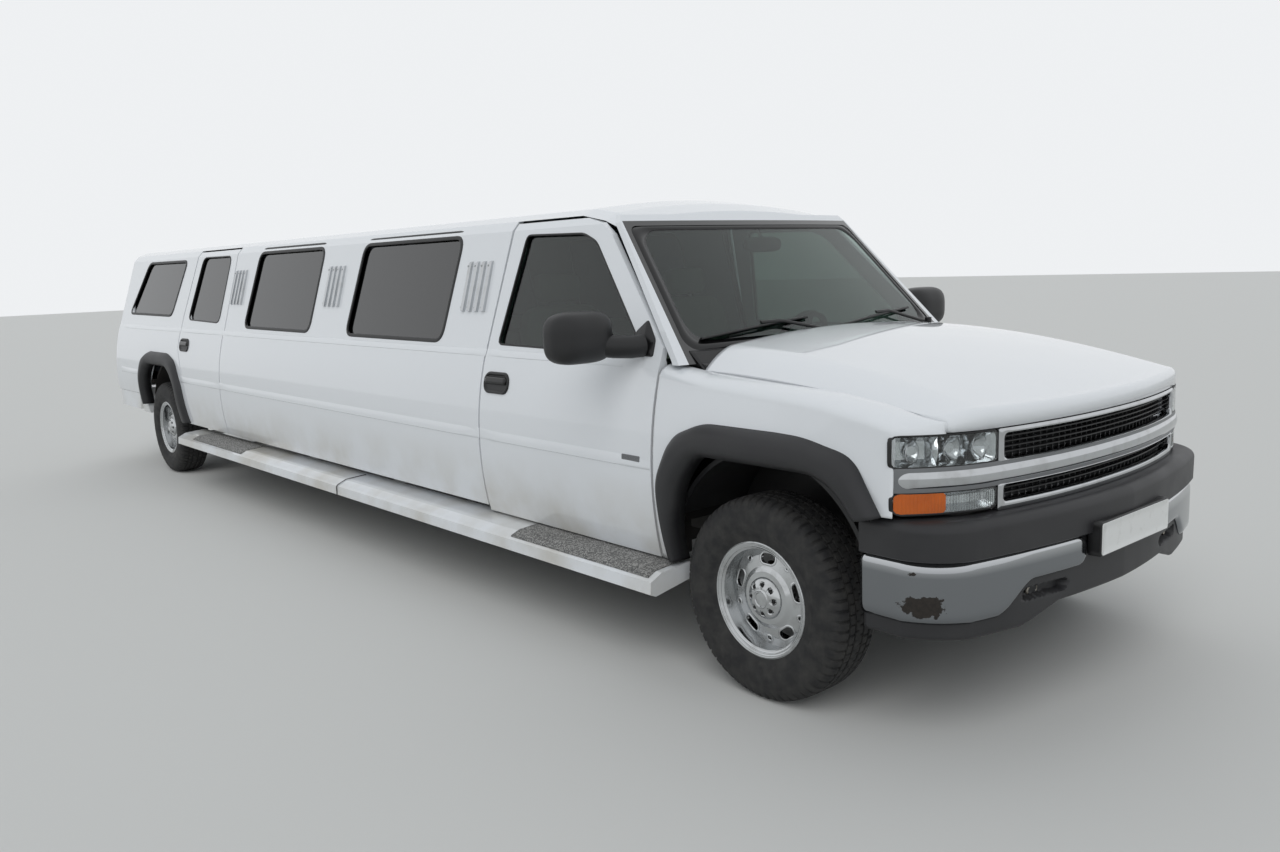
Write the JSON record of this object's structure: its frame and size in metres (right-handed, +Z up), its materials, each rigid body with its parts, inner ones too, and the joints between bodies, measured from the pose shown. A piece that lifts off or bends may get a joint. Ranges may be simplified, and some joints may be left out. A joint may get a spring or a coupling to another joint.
{
  "type": "stretch limousine",
  "caption": "Long stretched passenger limousine on a sport-utility base, with steering front wheels, hinged doors, hood and tail doors.",
  "frame": {"origin": "on the ground plane under the middle of the vehicle's length and width", "axes": "+X forwards, +Y to the vehicle's left, +Z up"},
  "size_m": [9.126, 2.65, 1.9319],
  "materials": {
    "chassis_frame": "black chassis paint",
    "engine_block": "cast iron",
    "driveline": "cast aluminium and painted steel",
    "exhaust": "aluminised steel",
    "fuel_tank": "black moulded plastic",
    "front_axle": "black chassis paint",
    "rear_axle": "black chassis paint",
    "leaf_springs": "black chassis paint",
    "floor_pan": "black chassis paint",
    "inner_fenders": "black moulded plastic",
    "stretch_panels": "white gloss paint",
    "quarter_panels": "white gloss paint",
    "roof_panel": "white gloss paint",
    "windshield_frame": "black moulded plastic",
    "windshield": "clear glass",
    "tail_frame": "white gloss paint",
    "side_glass": "dark tinted glass",
    "front_fenders": "white gloss paint",
    "grille": "bright chrome",
    "grille_mesh": "black moulded plastic",
    "headlamps": "clear lamp lens",
    "turn_lamps": "amber and clear lens",
    "bumper_pad": "charcoal moulded plastic",
    "front_bumper": "bright chrome",
    "air_dam": "charcoal moulded plastic",
    "rear_bumper": "white gloss paint",
    "tail_lamps": "red lens",
    "wheel_flares": "charcoal moulded plastic",
    "running_boards": "white paint with grey tread pads",
    "louvre_bars": "bright chrome",
    "dashboard": "soft black plastic",
    "front_seats": "light grey leather",
    "saloon_seats": "black leather",
    "steering_wheel": "black leather rim",
    "hood": "white gloss paint",
    "liftgate": "white gloss paint",
    "liftgate_glass": "dark tinted glass",
    "front_door_right": "white gloss paint",
    "rear_door_right": "white gloss paint",
    "cargo_door_right": "white gloss paint",
    "front_door_glass_right": "lightly tinted glass",
    "rear_door_glass_right": "dark tinted glass",
    "door_mirror_right": "black moulded plastic",
    "knuckle_right": "cast iron",
    "tyre_front_right": "black rubber",
    "wheel_front_right": "polished aluminium",
    "tyre_rear_right": "black rubber",
    "wheel_rear_right": "polished aluminium",
    "front_door_left": "white gloss paint",
    "rear_door_left": "white gloss paint",
    "cargo_door_left": "white gloss paint",
    "front_door_glass_left": "lightly tinted glass",
    "rear_door_glass_left": "dark tinted glass",
    "door_mirror_left": "black moulded plastic",
    "knuckle_left": "cast iron",
    "tyre_front_left": "black rubber",
    "wheel_front_left": "polished aluminium",
    "tyre_rear_left": "black rubber",
    "wheel_rear_left": "polished aluminium"
  },
  "bodies": {
    "body": {"chassis_frame": "chassis_frame", "engine_block": "engine_block", "driveline": "driveline", "exhaust": "exhaust", "fuel_tank": "fuel_tank", "front_axle": "front_axle", "rear_axle": "rear_axle", "leaf_springs": "leaf_springs", "floor_pan": "floor_pan", "inner_fenders": "inner_fenders", "stretch_panels": "stretch_panels", "quarter_panels": "quarter_panels", "roof_panel": "roof_panel", "windshield_frame": "windshield_frame", "windshield": "windshield", "side_glass": "side_glass", "tail_frame": "tail_frame", "front_fenders": "front_fenders", "grille": "grille", "grille_mesh": "grille_mesh", "headlamps": "headlamps", "turn_lamps": "turn_lamps", "bumper_pad": "bumper_pad", "front_bumper": "front_bumper", "air_dam": "air_dam", "rear_bumper": "rear_bumper", "tail_lamps": "tail_lamps", "wheel_flares": "wheel_flares", "running_boards": "running_boards", "louvre_bars": "louvre_bars", "dashboard": "dashboard", "front_seats": "front_seats", "saloon_seats": "saloon_seats", "steering_wheel": "steering_wheel"},
    "front_door_right": {"front_door_right": "front_door_right", "front_door_glass_right": "front_door_glass_right", "door_mirror_right": "door_mirror_right"},
    "rear_door_right": {"rear_door_right": "rear_door_right", "rear_door_glass_right": "rear_door_glass_right"},
    "cargo_door_right": {"cargo_door_right": "cargo_door_right"},
    "knuckle_right": {"knuckle_right": "knuckle_right"},
    "wheel_front_right": {"tyre_front_right": "tyre_front_right", "wheel_front_right": "wheel_front_right"},
    "wheel_rear_right": {"tyre_rear_right": "tyre_rear_right", "wheel_rear_right": "wheel_rear_right"},
    "front_door_left": {"front_door_left": "front_door_left", "front_door_glass_left": "front_door_glass_left", "door_mirror_left": "door_mirror_left"},
    "rear_door_left": {"rear_door_left": "rear_door_left", "rear_door_glass_left": "rear_door_glass_left"},
    "cargo_door_left": {"cargo_door_left": "cargo_door_left"},
    "knuckle_left": {"knuckle_left": "knuckle_left"},
    "wheel_front_left": {"tyre_front_left": "tyre_front_left", "wheel_front_left": "wheel_front_left"},
    "wheel_rear_left": {"tyre_rear_left": "tyre_rear_left", "wheel_rear_left": "wheel_rear_left"},
    "hood": {"hood": "hood"},
    "liftgate": {"liftgate": "liftgate", "liftgate_glass": "liftgate_glass"}
  },
  "joints": [
    {"name": "front_door_right_hinge", "type": "hinge", "parent": "body", "child": "front_door_right", "pos_m": [2.978, -0.962, 0.78], "axis": [0, 0, 1], "range_deg": [0, 65]},
    {"name": "rear_door_right_hinge", "type": "hinge", "parent": "body", "child": "rear_door_right", "pos_m": [-1.882, -0.962, 0.78], "axis": [0, 0, 1], "range_deg": [0, 65]},
    {"name": "cargo_door_right_hinge", "type": "hinge", "parent": "body", "child": "cargo_door_right", "pos_m": [-4.506, -0.771, 0.945], "axis": [0, 0, 1], "range_deg": [0, 85]},
    {"name": "steer_right", "type": "hinge", "parent": "body", "child": "knuckle_right", "pos_m": [3.613, -0.79, 0.387], "axis": [0, 0, 1], "range_deg": [-30, 30]},
    {"name": "spin_front_right", "type": "hinge", "parent": "knuckle_right", "child": "wheel_front_right", "pos_m": [3.613, -0.861, 0.387], "axis": [0, 1, 0], "continuous": true},
    {"name": "spin_rear_right", "type": "hinge", "parent": "body", "child": "wheel_rear_right", "pos_m": [-3.245, -0.861, 0.387], "axis": [0, 1, 0], "continuous": true},
    {"name": "front_door_left_hinge", "type": "hinge", "parent": "body", "child": "front_door_left", "pos_m": [2.978, 0.962, 0.78], "axis": [0, 0, -1], "range_deg": [0, 65]},
    {"name": "rear_door_left_hinge", "type": "hinge", "parent": "body", "child": "rear_door_left", "pos_m": [-1.882, 0.962, 0.78], "axis": [0, 0, -1], "range_deg": [0, 65]},
    {"name": "cargo_door_left_hinge", "type": "hinge", "parent": "body", "child": "cargo_door_left", "pos_m": [-4.506, 0.771, 0.945], "axis": [0, 0, -1], "range_deg": [0, 85]},
    {"name": "steer_left", "type": "hinge", "parent": "body", "child": "knuckle_left", "pos_m": [3.613, 0.79, 0.387], "axis": [0, 0, 1], "range_deg": [-30, 30]},
    {"name": "spin_front_left", "type": "hinge", "parent": "knuckle_left", "child": "wheel_front_left", "pos_m": [3.613, 0.861, 0.387], "axis": [0, 1, 0], "continuous": true},
    {"name": "spin_rear_left", "type": "hinge", "parent": "body", "child": "wheel_rear_left", "pos_m": [-3.245, 0.861, 0.387], "axis": [0, 1, 0], "continuous": true},
    {"name": "hood_hinge", "type": "hinge", "parent": "body", "child": "hood", "pos_m": [3.228, 0, 1.283], "axis": [0, -1, 0], "range_deg": [0, 50]},
    {"name": "liftgate_hinge", "type": "hinge", "parent": "body", "child": "liftgate", "pos_m": [-4.42207, 0, 1.833], "axis": [0, 1, 0], "range_deg": [0, 80]}
  ],
  "couplings": [
    {"joint": "steer_right", "follows": "steer_left", "ratio": 1}
  ]
}
